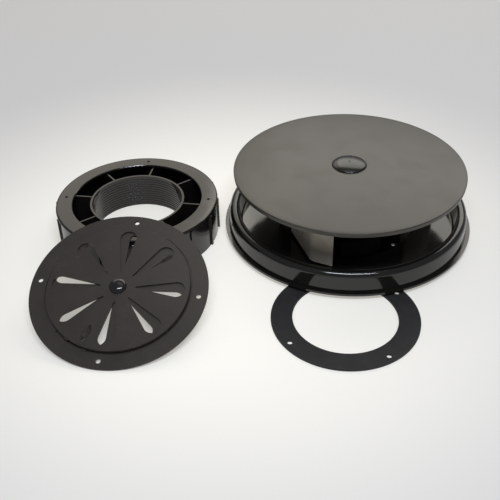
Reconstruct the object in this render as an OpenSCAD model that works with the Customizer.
// Low-profile wind-driven roof ventilator kit: the ventilator with its free-spinning rotor,
// a flat gasket, a ceiling collar, and a round ceiling grille with a turning shutter.
// Millimetres, +Z up. The origin is on the ventilator's axis, on its roof mounting face.

/* [Ventilator base] */
// Radius of the outward lip, the widest part of the base
lip_r = 132; // [110:0.1:160]
// Height of the lip's underside above the roof
lip_z = 5; // [4:0.5:9]
// Width of the lip outside the side wall
lip_w = 3.6; // [2:0.1:6]
// Height of the top of the rounded rim
rim_z = 27.8; // [26:0.1:36]
// Radial width of the rounded rim
rim_w = 12.2; // [9:0.1:14]
// Wall thickness of the base moulding
base_t = 2.4; // [2:0.1:3.2]
// Radius of the air throat
throat_r = 48; // [40:0.1:58]
// Height of the throat's upstand
throat_h = 28; // [24:0.5:34]
// Width of the flat foot around the throat
foot_w = 22.5; // [21:0.5:28]
// Height of the underside of the bowl floor
bowl_z = 7.5; // [6:0.5:10]

/* [Roof fixing] */
// How far a roof screw stands outside the throat's bore
roof_hole_off = 15.5; // [14:0.1:18]
// Radius of a roof screw hole
roof_hole_r = 2.25; // [1.8:0.05:3]

/* [Rotor disc] */
// How far the rotor disc's edge lies inside the lip
disc_inset = 10.6; // [4:0.1:16]
// Height of the disc's top edge above the roof
disc_edge_z = 71.4; // [58:0.1:86]
// Rise of the dome from its edge to its centre
dome_rise = 3; // [2:0.5:8]
// Wall thickness of the disc
disc_t = 2.4; // [1.8:0.1:3]
// Depth of the turned-down rim
disc_rim_h = 4.6; // [4:0.1:9]
// Radius of the centre cap
cap_r = 18; // [16:0.5:24]
// Height of the cap's crown above the disc
cap_rise = 3.4; // [2.4:0.1:5]

/* [Wind vanes] */
// Place of a vane's tip, as a share of the way across the bowl
vane_reach = 0.69; // [0.5:0.01:0.78]
// Angle of the first vane's tip
vane_tip_deg = -104.6; // [-180:0.1:180]
// Length of a vane's outer leaf, as a share of the bowl's width
vane_outer_share = 0.44; // [0.3:0.01:0.6]
// Gap in plan between a vane's inner end and the bridge
vane_end_gap = 6.5; // [3:0.5:12]
// Bend between the two leaves
vane_bend_deg = 45; // [30:1:60]
// Thickness of a vane
vane_t = 2; // [1.4:0.1:3]
// Gap between a vane and the bowl floor
vane_gap = 4; // [2.5:0.5:6]

/* [Spindle and bearings] */
// Radius of the steel spindle
spindle_r = 4; // [3:0.5:5]
// Radius of the spindle's threaded ends
thread_r = 3; // [2:0.5:3]
// Outer radius of a ball bearing
bearing_r = 11; // [9.1:0.1:13.3]
// Width of a ball bearing
bearing_w = 7; // [6:0.5:8]
// Distance between the two bearings
bearing_gap = 4; // [2:0.5:6]
// Number of balls in a bearing
ball_n = 7; // [6:1:7]
// Radial gap of a fit inside one assembly
fit_gap = 0.02; // [0.01:0.01:0.05]
// Gap between pieces that move past each other
run_gap = 0.3; // [0.25:0.05:0.5]

/* [Impeller] */
// Gap between the blade tips and the throat
tip_gap = 2.5; // [1:0.5:4]
// Number of blades
blade_n = 5; // [3:1:7]
// Pitch of the blades
blade_pitch = 35; // [25:1:40]
// Chord of a blade
blade_chord = 15; // [12:0.5:16]
// Thickness of a blade
blade_t = 1.8; // [1.4:0.1:2.4]

/* [Gasket] */
// How far the gasket's bore stands back from the throat's
gasket_bore_off = 2; // [0:0.1:4]
// Thickness of the gasket
gasket_t = 2; // [1:0.1:3.5]
// Turn of the gasket's holes as it lies
gasket_turn = 31.5; // [0:0.5:90]
// Gap between the gasket's edge and the base's foot, as they lie
gasket_gap = 17.2; // [5:0.1:40]
// Direction from the ventilator's axis to the gasket
gasket_dir = -96.5; // [-120:0.5:-60]

/* [Collar] */
// Radius of the collar's flange
collar_r = 86.2; // [78:0.1:104]
// Height of the collar
collar_h = 39.7; // [30:0.1:50]
// Radial width of the collar's flange
collar_flange_w = 17.4; // [15:0.1:19]
// Thickness of the flange
collar_flange_t = 2.6; // [2:0.1:3.5]
// Wall thickness of the collar
collar_t = 2.2; // [1.8:0.1:3]
// Number of ribs between the bore and the outer wall
web_n = 8; // [6:1:12]
// Number of ribs on the outside of the wall
flute_n = 16; // [8:1:24]
// How far an outside rib stands out
flute_h = 1.8; // [1:0.1:2.5]
// Spacing of the ridges in the bore
ridge_pitch = 3; // [2.4:0.1:4]
// Depth of the grooves between the ridges
ridge_depth = 0.5; // [0.3:0.1:0.8]
// Gap between the collar's outside ribs and the base's lip, as they lie
collar_gap = 6.5; // [2:0.1:20]

/* [Grille] */
// How far the grille's edge lies inside the collar's
grille_inset = 1.2; // [0:0.1:4]
// Thickness of the flange
grille_t = 2; // [1.6:0.1:3]
// How far a grille screw lies inside the collar's edge
grille_hole_off = 9.45; // [8:0.05:11]
// Radius of a screw hole in the grille
grille_hole_r = 2.3; // [1.8:0.05:3]
// Depth of the skirt behind the face of the flange
skirt_depth = 7.7; // [6:0.1:9]
// Width of the grille's flange outside the shutter
shutter_inset = 16.8; // [16:0.1:22]
// Thickness of the shutter disc
shutter_t = 1.5; // [1.2:0.1:2.2]
// Height of the shutter's face above the flange's face
shutter_z = 3.5; // [3.2:0.1:5]
// Number of petal openings
petal_n = 8; // [6:1:9]
// Distance from the centre to a petal's inner end
petal_in_r = 16.7; // [13:0.1:20]
// Width of the shutter outside the petals
petal_margin = 4.8; // [4:0.1:10]
// Radius of a petal's wide end
petal_wide_r = 8.1; // [6:0.1:9]
// Radius of a petal's narrow end
petal_tip_r = 0.9; // [0.6:0.1:2]
// How far the shutter stands turned from fully open
shutter_rest_deg = 9.5; // [1:0.5:20]
// Radius of the pivot knob
knob_r = 8.2; // [6:0.1:11]
// Height of the pivot knob's dome
knob_h = 4.6; // [3:0.1:7]
// Radius of the pivot's shank
pivot_r = 2.5; // [2:0.1:3.5]
// Turn of the grille about the vertical, as it lies
grille_turn = -6.4; // [-20:0.1:20]
// How far the grille's centre lies outside the collar's flange
grille_off = 53.4; // [48:0.1:60]
// Direction from the collar's axis to the grille's centre
grille_dir = -92; // [-120:0.5:-60]

/* [Hidden] */
$fn = 96;
eps = 0.01;

// colours of the mouldings, the seals and the metal inside
gloss_black = "#26241f";
satin_black = "#5c5853";
matt_black = "#3a3937";
rubber_black = "#232222";
inner_black = "#1b1b1c";
steel = "#b9bbbd";
zinc = "#8f9397";

// base: the foot lies on the roof, the bowl floor is raised, the rim rounds over the wall
wall_foot_r = lip_r - lip_w;
foot_r = throat_r + foot_w;
roof_pcd = 2 * (throat_r + roof_hole_off);
foot_mid_z = base_t / 2;
throat_mid_r = throat_r + base_t / 2;
wall_draft = 1.6;
rim_h = 6;
foot_rise_w = 3;
bowl_mid_z = bowl_z + base_t / 2;
rim_outer_r = wall_foot_r - wall_draft;
rim_half_w = rim_w / 2;
rim_c = [rim_outer_r - rim_half_w, rim_z - rim_h];
rim_end_deg = 130;
rim_rad = [rim_half_w - base_t / 2, rim_h - base_t / 2];
rim_inner_mid = rim_c + [rim_rad[0] * cos(rim_end_deg), rim_rad[1] * sin(rim_end_deg)];
bowl_r = rim_inner_mid[0] - 4;
boss_screw_n = 3;
boss_at_r = throat_r + 9;
boss_screw_r = 1.25;
boss_post_r = 4.5;
bridge_out_r = boss_at_r + boss_post_r + 1;

// bridge: a ring on top of the throat, three arms and a bearing boss
bridge_t = 3;
bridge_top = throat_h + bridge_t;
arm_h = 9;
arm_w = 3;
boss_wall = 3;
boss_r = bearing_r + boss_wall;
lower_bearing_z = throat_h - 13;
boss_lip = 2;
upper_bearing_z = lower_bearing_z + bearing_w + bearing_gap;
stack_top = upper_bearing_z + bearing_w;
circlip_t = 1;
circlip_z = stack_top + 0.1;
boss_z = lower_bearing_z - boss_lip;
boss_top = circlip_z + circlip_t + 1;
race_section = bearing_r - spindle_r;
ball_r = 0.283 * race_section;
race_t = 0.243 * race_section;
race_mid_r = (bearing_r + spindle_r) / 2;
groove_play = 0.12;
shield_t = 0.3;

// rotor: hub under the disc, spindle through the hub, impeller on the lower end
disc_r = lip_r - disc_inset;
crown_z = disc_edge_z + dome_rise;
seat_z = crown_z - 5;
hub_face_z = seat_z - 3;
hub_flange_t = 3;
hub_flange_r = 19;
hub_screw_at = 14.3;
hub_screw_r = 1.5;
hub_screw_n = 3;
seat_r = 14.5;
cap_seat_drop = 0.8;
washer_t = 1.2;
washer_r = 8;
nut_r = 5.77;
nut_h = 3.6;
nut_flats = 6;
impeller_top = boss_z - 3;
impeller_hub_h = 6;
impeller_hub_r = 12;
nose_r = race_mid_r - ball_r;
spindle_foot = 0.8;

// vane outline: outer leaf, a rounded bend, inner leaf
vane_bend_r = 9;
vane_z = bowl_z + base_t + vane_gap;
vane_lean_deg = 102.8;
bowl_w = bowl_r - bridge_out_r;
vane_tip_r = bridge_out_r + vane_reach * bowl_w;
vane_outer_l = vane_outer_share * bowl_w;
vane_end_r = bridge_out_r + vane_end_gap;
vane_n = 3;

// gasket
gasket_r = foot_r;
gasket_bore_r = throat_r + gasket_bore_off;

// collar
collar_bore_r = throat_r;
collar_step = 0.7;
collar_wall_r = collar_r - collar_step;
collar_inner_r = collar_r - collar_flange_w;
collar_floor_t = 2.5;
tube_r = collar_bore_r + collar_t;
tube_top = collar_h - 2;
web_t = 1.6;
web_turn = -9.8;
collar_hole_turn = -4.2;
collar_post_r = 4;
collar_pilot_r = 1.6;
collar_pilot_depth = 14;
flute_w = 2.4;
groove_w = 1.3;

// grille: pan, skirt, raised petal plate, groove for the shutter's rim
grille_r = collar_r - grille_inset;
grille_pcd = 2 * (collar_r - grille_hole_off);
shutter_r = grille_r - shutter_inset;
petal_out_r = shutter_r - petal_margin;
plateau_z = shutter_z - shutter_t - 0.08;
plateau_r = shutter_r - 1.6;
groove_r = shutter_r + 1.7;
groove_depth = 1.2;
skirt_t = 2;
skirt_r = plateau_r + 0.4;
frame_hole_turn = -3.7;
shutter_rim_t = 1.1;
shutter_rim_z = 0.3;
front_turn = -0.6;
rear_turn = front_turn - shutter_rest_deg;
stop_w_deg = 3.6;
lug_w_deg = 3.8;
stop_open_deg = -137;
shutter_travel_deg = 180 / petal_n;
lug_open_deg = stop_open_deg + (stop_w_deg + lug_w_deg) / 2 + 0.2;
lug_rest_deg = lug_open_deg + shutter_rest_deg;
stop_shut_deg = lug_open_deg + shutter_travel_deg + (stop_w_deg + lug_w_deg) / 2 + 0.2;
lug_reach = 1.2;
stop_h = 0.6;
fin_l = 17;
fin_w = 6;
fin_h = 4.2;
fin_at_r = petal_out_r - 8.7;
fin_deg = -111.7;
pivot_boss_r = 6;
pivot_boss_z = -4;
clip_t = 0.9;
clip_gap = 0.1;

// where the loose pieces lie beside the ventilator
gasket_at = (foot_r + gasket_r + gasket_gap) * [cos(gasket_dir), sin(gasket_dir)];
collar_at = [-(lip_r + collar_wall_r + flute_h + collar_gap), 0];
grille_at = collar_at + (collar_r + grille_off) * [cos(grille_dir), sin(grille_dir)];

// The grille leans on the collar's rim: its skirt rests there at skirt_v up its face, and
// its lower edge, or the skirt's, stands on the same surface as the collar
skirt_near = grille_off + collar_r - 0.32 * skirt_depth;
skirt_chord = (pow(skirt_near, 2) + pow(skirt_r, 2) - pow(collar_r, 2)) / (2 * skirt_near);
chord_stretch = 1.03;
skirt_v = chord_stretch * skirt_r * cos(acos(skirt_chord / skirt_r) + abs(90 + grille_dir - grille_turn));
edge_run = grille_r + skirt_v;
edge_drop = skirt_depth - grille_t;
lean_on_edge = asin((collar_h + run_gap) / norm([edge_run, edge_drop])) + atan2(edge_drop, edge_run);
lean_on_skirt = asin((collar_h + run_gap) / (skirt_r + skirt_v));
lean_deg = min(lean_on_edge, lean_on_skirt);
grille_z = collar_h + run_gap - skirt_v * sin(lean_deg) + skirt_depth * cos(lean_deg);

// Points on an ellipse about c, from angle a0 to a1 in n steps
function arc_pts(c, rad, a0, a1, n) =
    [for (i = [0:n]) let (a = a0 + (a1 - a0) * i / n) c + [rad[0] * cos(a), rad[1] * sin(a)]];

function unit(v) = v / norm(v);
function left_of(v) = [-v[1], v[0]];

// Mitred normal of the path p at point i
function path_normal(p, i) =
    let (
        last = len(p) - 1,
        before = i == 0 ? unit(p[1] - p[0]) : unit(p[i] - p[i - 1]),
        after = i == last ? unit(p[last] - p[last - 1]) : unit(p[i + 1] - p[i]),
        sum = left_of(unit(before + after))
    )
    sum / max(0.3, sum * left_of(before));

// Outline of a wall of thickness t whose middle follows the path p
function ribbon(p, t) =
    concat(
        [for (i = [0:len(p) - 1]) p[i] + path_normal(p, i) * t / 2],
        [for (i = [len(p) - 1:-1:0]) p[i] - path_normal(p, i) * t / 2]
    );

// Height of the dome's top face at radius r
function dome_z(r) = disc_edge_z + dome_rise * (1 - pow(r / disc_r, 2));

// Outline of a petal along +X: a wide round end, straight sides, a narrow round end
function petal_pts() =
    let (
        wide_x = petal_out_r - petal_wide_r,
        tip_x = petal_in_r + petal_tip_r,
        side = acos((petal_wide_r - petal_tip_r) / (wide_x - tip_x))
    )
    concat(
        arc_pts([wide_x, 0], [petal_wide_r, petal_wide_r], -(180 - side), 180 - side, 20),
        arc_pts([tip_x, 0], [petal_tip_r, petal_tip_r], 180 - side, 180 + side, 6)
    );

module ring(r_out, r_in, z0, z1) {
    translate([0, 0, z0])
        difference() {
            cylinder(r = r_out, h = z1 - z0);
            translate([0, 0, -1])
                cylinder(r = r_in, h = z1 - z0 + 2);
        }
}

module spaced(n, turn = 0) {
    for (i = [0:n - 1])
        rotate([0, 0, turn + 360 * i / n])
            children();
}

// ---- ventilator, fixed part ----

module base_housing() {
    path = concat(
        [
            [throat_mid_r, throat_h],
            [throat_mid_r, foot_mid_z],
            [foot_r, foot_mid_z],
            [foot_r + foot_rise_w, bowl_mid_z],
            [bowl_r, bowl_mid_z],
            [bowl_r + 1.6, bowl_mid_z + 1.6]
        ],
        arc_pts(rim_c, rim_rad, rim_end_deg, 0, 14),
        [
            [wall_foot_r - base_t / 2, lip_z + base_t / 2],
            [lip_r, lip_z + base_t / 2]
        ]
    );
    color(gloss_black)
        difference() {
            union() {
                rotate_extrude($fn = 180)
                    polygon(ribbon(path, base_t));
                spaced(boss_screw_n)
                    translate([boss_at_r, 0, eps])
                        cylinder(r = boss_post_r, h = throat_h - eps, $fn = 32);
            }
            spaced(4, 45)
                translate([roof_pcd / 2, 0, -1])
                    cylinder(r = roof_hole_r, h = base_t + 2, $fn = 32);
            spaced(boss_screw_n)
                translate([boss_at_r, 0, throat_h - 16])
                    cylinder(r = boss_screw_r, h = 17, $fn = 24);
        }
}

module bearing_bridge() {
    ring_in = throat_r - 2;
    ring_out = boss_at_r - boss_post_r + 1.4;
    color(inner_black)
        difference() {
            union() {
                ring(ring_out, ring_in, throat_h, bridge_top);
                spaced(boss_screw_n) {
                    translate([boss_at_r, 0, throat_h])
                        cylinder(r = bridge_out_r - boss_at_r, h = bridge_t, $fn = 32);
                    translate([boss_r - 1, -arm_w / 2, bridge_top - arm_h])
                        cube([ring_in - boss_r + 1.5, arm_w, arm_h]);
                }
                translate([0, 0, boss_z])
                    cylinder(r = boss_r, h = boss_top - boss_z);
            }
            translate([0, 0, lower_bearing_z])
                cylinder(r = bearing_r + fit_gap, h = boss_top);
            translate([0, 0, boss_z - 1])
                cylinder(r = bearing_r - race_t, h = boss_lip + 2);
            translate([0, 0, circlip_z - 0.05])
                cylinder(r = bearing_r + 0.8, h = circlip_t + 0.1);
            spaced(boss_screw_n)
                translate([boss_at_r, 0, throat_h - 1])
                    cylinder(r = boss_screw_r + 0.4, h = bridge_t + 2, $fn = 24);
        }
}

module screw(shank_r, shank_l, head_r, head_h) {
    translate([0, 0, -shank_l])
        cylinder(r = shank_r, h = shank_l + eps, $fn = 24);
    difference() {
        cylinder(r = head_r, h = head_h, $fn = 32);
        for (a = [0, 90])
            rotate([0, 0, a])
                translate([-head_r * 0.6, -0.4, head_h - 0.9])
                    cube([head_r * 1.2, 0.8, 1]);
    }
}

module bridge_screws() {
    color(zinc)
        spaced(boss_screw_n)
            translate([boss_at_r, 0, bridge_top])
                screw(boss_screw_r - fit_gap, 14, 3.4, 2.2);
}

module race_groove() {
    translate([0, 0, bearing_w / 2])
        rotate_extrude()
            translate([race_mid_r, 0])
                circle(r = ball_r + groove_play, $fn = 48);
}

module outer_race(z) {
    color(steel)
        translate([0, 0, z])
            difference() {
                ring(bearing_r, bearing_r - race_t, 0, bearing_w);
                race_groove();
            }
}

module inner_race(z) {
    color(steel)
        translate([0, 0, z])
            difference() {
                ring(spindle_r + race_t, spindle_r + fit_gap, 0, bearing_w);
                race_groove();
            }
}

module ball_set(z) {
    color(steel)
        spaced(ball_n)
            translate([race_mid_r, 0, z + bearing_w / 2])
                sphere(r = ball_r, $fn = 32);
}

module bearing_shields() {
    shield_out = bearing_r - race_t - fit_gap;
    shield_in = spindle_r + race_t + 0.25;
    color(steel)
        for (z = [lower_bearing_z, upper_bearing_z], side = [0.1, bearing_w - shield_t - 0.1])
            translate([0, 0, z + side])
                ring(shield_out, shield_in, 0, shield_t);
}

module outer_spacer() {
    color(zinc)
        ring(bearing_r, bearing_r - race_t, lower_bearing_z + bearing_w, upper_bearing_z);
}

module boss_circlip() {
    color(zinc)
        translate([0, 0, circlip_z])
            difference() {
                cylinder(r = bearing_r + 0.7, h = circlip_t);
                translate([0, 0, -1])
                    cylinder(r = bearing_r - 1.2, h = circlip_t + 2);
                translate([0, -3, -1])
                    cube([bearing_r + 2, 6, circlip_t + 2]);
            }
}

// ---- ventilator, rotor ----

module rotor_disc() {
    rim_in = disc_r - disc_t;
    corner = 1.2;
    dome_n = 12;
    cap_edge = cap_r + 0.2;
    dome_out = disc_r - corner;
    top = [
        for (i = [0:dome_n])
            let (r = cap_edge + (dome_out - cap_edge) * i / dome_n) [r, dome_z(r)]
    ];
    under = [
        for (i = [dome_n:-1:0])
            let (r = hub_flange_r + (rim_in - hub_flange_r) * i / dome_n) [r, dome_z(r) - disc_t]
    ];
    profile = concat(
        [
            [spindle_r + fit_gap, hub_face_z],
            [spindle_r + fit_gap, seat_z],
            [seat_r, seat_z],
            [seat_r, dome_z(cap_edge) - cap_seat_drop],
            [cap_edge, dome_z(cap_edge) - cap_seat_drop]
        ],
        top,
        [
            [disc_r - 0.4, disc_edge_z - 0.4],
            [disc_r, disc_edge_z - corner],
            [disc_r, disc_edge_z - disc_rim_h],
            [rim_in, disc_edge_z - disc_rim_h]
        ],
        under,
        [[hub_flange_r, hub_face_z]]
    );
    color(satin_black)
        difference() {
            rotate_extrude($fn = 180)
                polygon(profile);
            spaced(hub_screw_n)
                translate([hub_screw_at, 0, hub_face_z - 1])
                    cylinder(r = hub_screw_r + fit_gap, h = 3, $fn = 24);
        }
}

module centre_cap() {
    edge_z = dome_z(cap_r) - cap_seat_drop + fit_gap;
    edge_t = 1.3;
    crown = arc_pts([0, edge_z + edge_t], [cap_r, cap_rise], 0, 90, 10);
    hollow = arc_pts([0, edge_z], [seat_r - 2, cap_rise], 90, 0, 8);
    color(matt_black)
        rotate_extrude()
            polygon(concat(
                [[cap_r, edge_z]],
                crown,
                hollow,
                [
                    [seat_r - 2, edge_z - 2],
                    [seat_r - 0.1, edge_z - 2],
                    [seat_r - 0.1, edge_z]
                ]
            ));
}

// The vane's middle line, from its tip through the bend to its inner end
function vane_path() =
    let (
        tip = vane_tip_r * [cos(vane_tip_deg), sin(vane_tip_deg)],
        a0 = vane_tip_deg - vane_lean_deg,
        a1 = a0 - vane_bend_deg,
        cut = vane_bend_r * tan(vane_bend_deg / 2),
        knee = tip + (vane_outer_l - cut) * [cos(a0), sin(a0)],
        centre = knee + vane_bend_r * [cos(a0 - 90), sin(a0 - 90)],
        bend = arc_pts(centre, [vane_bend_r, vane_bend_r], a0 + 90, a1 + 90, 6),
        from = bend[len(bend) - 1],
        way = [cos(a1), sin(a1)],
        ahead = -from * way,
        aside = norm(from + ahead * way),
        after = from + (ahead - sqrt(max(0, pow(vane_end_r, 2) - pow(aside, 2)))) * way
    )
    concat([tip], bend, [after]);

// What the vanes' tops are cut to: all that lies above the disc's underside
function vane_cut_profile() =
    let (rim_in = disc_r - disc_t, dome_n = 12)
    concat(
        [
            for (i = [0:dome_n])
                let (r = hub_flange_r + (rim_in - hub_flange_r) * i / dome_n)
                    [r, dome_z(r) - disc_t]
        ],
        [
            [rim_in, crown_z + 5],
            [hub_flange_r, crown_z + 5]
        ]
    );

module vane(i) {
    color(satin_black)
        difference() {
            rotate([0, 0, 360 * i / vane_n])
                translate([0, 0, vane_z])
                    linear_extrude(height = crown_z - vane_z)
                        polygon(ribbon(vane_path(), vane_t));
            rotate_extrude($fn = 180)
                polygon(vane_cut_profile());
        }
}

module rotor_hub() {
    flange_z = hub_face_z - hub_flange_t;
    color(inner_black)
        difference() {
            rotate_extrude()
                polygon([
                    [spindle_r + fit_gap, stack_top],
                    [nose_r, stack_top],
                    [nose_r, boss_top + 1],
                    [nose_r + 4, boss_top + 5],
                    [nose_r + 4, flange_z],
                    [hub_flange_r, flange_z],
                    [hub_flange_r, hub_face_z],
                    [spindle_r + fit_gap, hub_face_z]
                ]);
            spaced(hub_screw_n)
                translate([hub_screw_at, 0, flange_z - 1])
                    cylinder(r = hub_screw_r + 0.2, h = hub_flange_t + 2, $fn = 24);
        }
}

module hub_screws() {
    color(zinc)
        spaced(hub_screw_n)
            translate([hub_screw_at, 0, hub_face_z - hub_flange_t])
                mirror([0, 0, 1])
                    screw(hub_screw_r, hub_flange_t + 1.8, 2.8, 1.8);
}

module spindle() {
    color(steel)
        difference() {
            union() {
                translate([0, 0, impeller_top - impeller_hub_h + 1])
                    cylinder(r = spindle_r, h = seat_z - impeller_top + impeller_hub_h - 1);
                translate([0, 0, spindle_foot])
                    cylinder(r = thread_r, h = seat_z + washer_t + nut_h + 0.4 - spindle_foot, $fn = 48);
            }
            translate([0, 0, -eps])
                cylinder(r = 1, h = spindle_foot + 2, $fn = 24);
        }
}

module hex_nut(z, h) {
    color(zinc)
        translate([0, 0, z])
            difference() {
                cylinder(r = nut_r, h = h, $fn = nut_flats);
                translate([0, 0, -1])
                    cylinder(r = thread_r + fit_gap, h = h + 2, $fn = 48);
            }
}

module washer(z) {
    color(zinc)
        ring(washer_r, thread_r + fit_gap, z, z + washer_t);
}

module inner_spacer() {
    color(zinc)
        ring(nose_r, spindle_r + fit_gap, lower_bearing_z + bearing_w, upper_bearing_z);
}

module impeller() {
    hub_z = impeller_top - impeller_hub_h;
    blade_out = throat_r - tip_gap;
    blade_mid = impeller_top - blade_chord * sin(blade_pitch) / 2;
    color(inner_black)
        difference() {
            union() {
                translate([0, 0, hub_z])
                    cylinder(r = impeller_hub_r, h = impeller_hub_h);
                translate([0, 0, impeller_top - eps])
                    cylinder(r = nose_r, h = lower_bearing_z - impeller_top + eps);
                intersection() {
                    translate([0, 0, hub_z - 6])
                        cylinder(r = blade_out, h = impeller_hub_h + 8);
                    spaced(blade_n, 18)
                        translate([impeller_hub_r - 2, 0, blade_mid])
                            rotate([90 - blade_pitch, 0, 0])
                                translate([0, -blade_t / 2, -blade_chord / 2])
                                    cube([blade_out, blade_t, blade_chord]);
                }
            }
            translate([0, 0, hub_z + 1])
                cylinder(r = spindle_r + fit_gap, h = lower_bearing_z);
            translate([0, 0, hub_z - 1])
                cylinder(r = thread_r + fit_gap, h = 3, $fn = 48);
        }
}

// ---- gasket and collar ----

module gasket() {
    color(rubber_black)
        translate([gasket_at[0], gasket_at[1], 0])
            difference() {
                ring(gasket_r, gasket_bore_r, 0, gasket_t);
                spaced(4, gasket_turn)
                    translate([roof_pcd / 2, 0, -1])
                        cylinder(r = roof_hole_r + 0.25, h = gasket_t + 2, $fn = 32);
            }
}

module collar_shell() {
    ring(collar_r, collar_inner_r, collar_h - collar_flange_t, collar_h);
    ring(collar_wall_r, collar_wall_r - collar_t, 0, collar_h - eps);
    ring(collar_wall_r - eps, collar_bore_r, 0, collar_floor_t);
    ring(tube_r, collar_bore_r, 0, tube_top);
    spaced(flute_n)
        translate([collar_wall_r - 1, -flute_w / 2, 0])
            cube([flute_h + 1, flute_w, collar_h - collar_flange_t - 0.4]);
    spaced(web_n, web_turn)
        translate([tube_r - 0.5, -web_t / 2, 1])
            cube([collar_wall_r - tube_r - 0.5, web_t, tube_top - 1.5]);
    spaced(4, collar_hole_turn)
        translate([grille_pcd / 2, 0, 1])
            cylinder(r = collar_post_r, h = collar_h - 2, $fn = 32);
}

module collar() {
    ridge_n = floor((tube_top - 4) / ridge_pitch);
    color(gloss_black)
        translate([collar_at[0], collar_at[1], 0])
            difference() {
                collar_shell();
                spaced(4, collar_hole_turn)
                    translate([grille_pcd / 2, 0, collar_h - collar_pilot_depth])
                        cylinder(r = collar_pilot_r, h = collar_pilot_depth + 1, $fn = 24);
                for (i = [1:ridge_n])
                    translate([0, 0, i * ridge_pitch])
                        cylinder(r = collar_bore_r + ridge_depth, h = groove_w);
            }
}

// ---- grille ----

module place_grille() {
    translate([grille_at[0], grille_at[1], grille_z])
        rotate([0, 0, grille_turn])
            rotate([lean_deg, 0, 0])
                children();
}

module petal_cut(turn, z0, z1) {
    spaced(petal_n, turn)
        translate([0, 0, z0])
            linear_extrude(height = z1 - z0)
                polygon(petal_pts());
}

module arc_block(deg, w_deg, r0, r1, z0, z1) {
    rotate([0, 0, deg])
        intersection() {
            ring(r1, r0, z0, z1);
            translate([r0 - 2, -r1 * sin(w_deg / 2), z0 - 1])
                cube([r1 - r0 + 4, 2 * r1 * sin(w_deg / 2), z1 - z0 + 2]);
        }
}

module grille_frame() {
    color(matt_black)
        place_grille()
            difference() {
                union() {
                    ring(grille_r, groove_r, -grille_t, 0);
                    ring(groove_r + eps, plateau_r - 4, -grille_t, -groove_depth);
                    translate([0, 0, -0.4])
                        cylinder(r = plateau_r, h = plateau_z + 0.4);
                    ring(plateau_r, plateau_r - 4, -grille_t, 0);
                    ring(skirt_r, skirt_r - skirt_t, -skirt_depth, -groove_depth - 0.1);
                    translate([0, 0, pivot_boss_z])
                        cylinder(r = pivot_boss_r, h = -pivot_boss_z);
                    for (deg = [stop_open_deg, stop_shut_deg])
                        arc_block(deg, stop_w_deg, shutter_r + 0.4, groove_r + 0.5,
                            -groove_depth - 0.2, stop_h);
                }
                petal_cut(rear_turn, -1, plateau_z + 1);
                translate([0, 0, pivot_boss_z - 1])
                    cylinder(r = pivot_r + 0.05, h = plateau_z - pivot_boss_z + 2, $fn = 48);
                spaced(4, frame_hole_turn)
                    translate([grille_pcd / 2, 0, -grille_t - 1])
                        cylinder(r = grille_hole_r, h = grille_t + 2, $fn = 32);
            }
}

module finger_fin() {
    arc_r = (pow(fin_l / 2, 2) + pow(fin_w / 2, 2)) / fin_w;
    rotate([0, 0, fin_deg])
        translate([fin_at_r, 0, shutter_z - 0.5])
            intersection() {
                translate([0, arc_r - fin_w / 2, 0])
                    cylinder(r = arc_r, h = fin_h + 0.5);
                translate([0, fin_w / 2 - arc_r, 0])
                    cylinder(r = arc_r, h = fin_h + 0.5);
            }
}

module shutter_disc() {
    color(matt_black)
        place_grille()
            difference() {
                union() {
                    translate([0, 0, shutter_z - shutter_t])
                        cylinder(r = shutter_r, h = shutter_t);
                    ring(shutter_r, shutter_r - shutter_rim_t, shutter_rim_z, shutter_z - 0.5);
                    arc_block(lug_rest_deg, lug_w_deg, shutter_r - 0.8, shutter_r + lug_reach,
                        shutter_rim_z, shutter_z - shutter_t + 0.2);
                    finger_fin();
                }
                petal_cut(front_turn, shutter_z - shutter_t - 1, shutter_z + 1);
                translate([0, 0, -1])
                    cylinder(r = pivot_r + fit_gap, h = shutter_z + 2, $fn = 48);
            }
}

module pivot_knob() {
    tail_z = pivot_boss_z - 2 * clip_t - clip_gap - 0.6;
    head_edge = 0.8;
    color(gloss_black)
        place_grille()
            rotate_extrude()
                polygon(concat(
                    [
                        [0, tail_z],
                        [pivot_r, tail_z],
                        [pivot_r, shutter_z + fit_gap],
                        [knob_r, shutter_z + fit_gap]
                    ],
                    arc_pts([0, shutter_z + head_edge], [knob_r, knob_h - head_edge], 0, 90, 12)
                ));
}

module spring_washer() {
    color(steel)
        place_grille()
            ring(pivot_boss_r - 0.5, pivot_r + fit_gap,
                pivot_boss_z - clip_gap - clip_t, pivot_boss_z - clip_gap);
}

module push_nut() {
    color(zinc)
        place_grille()
            ring(pivot_boss_r - 1, pivot_r + fit_gap,
                pivot_boss_z - clip_gap - 2 * clip_t, pivot_boss_z - clip_gap - clip_t);
}

base_housing();
bearing_bridge();
bridge_screws();
outer_race(upper_bearing_z);  // upper_outer_race
outer_race(lower_bearing_z);  // lower_outer_race
ball_set(upper_bearing_z);  // upper_balls
ball_set(lower_bearing_z);  // lower_balls
bearing_shields();
outer_spacer();
boss_circlip();
rotor_disc();
centre_cap();
vane(0);  // vane_1
vane(1);  // vane_2
vane(2);  // vane_3
rotor_hub();
hub_screws();
spindle();
hex_nut(seat_z + washer_t, nut_h);  // spindle_nut
washer(seat_z);  // spindle_washer
inner_race(upper_bearing_z);  // upper_inner_race
inner_race(lower_bearing_z);  // lower_inner_race
inner_spacer();
impeller();
hex_nut(impeller_top - impeller_hub_h - washer_t - 2, 2);  // impeller_nut
washer(impeller_top - impeller_hub_h - washer_t);  // impeller_washer
gasket();
collar();
grille_frame();
shutter_disc();
pivot_knob();
spring_washer();
push_nut();
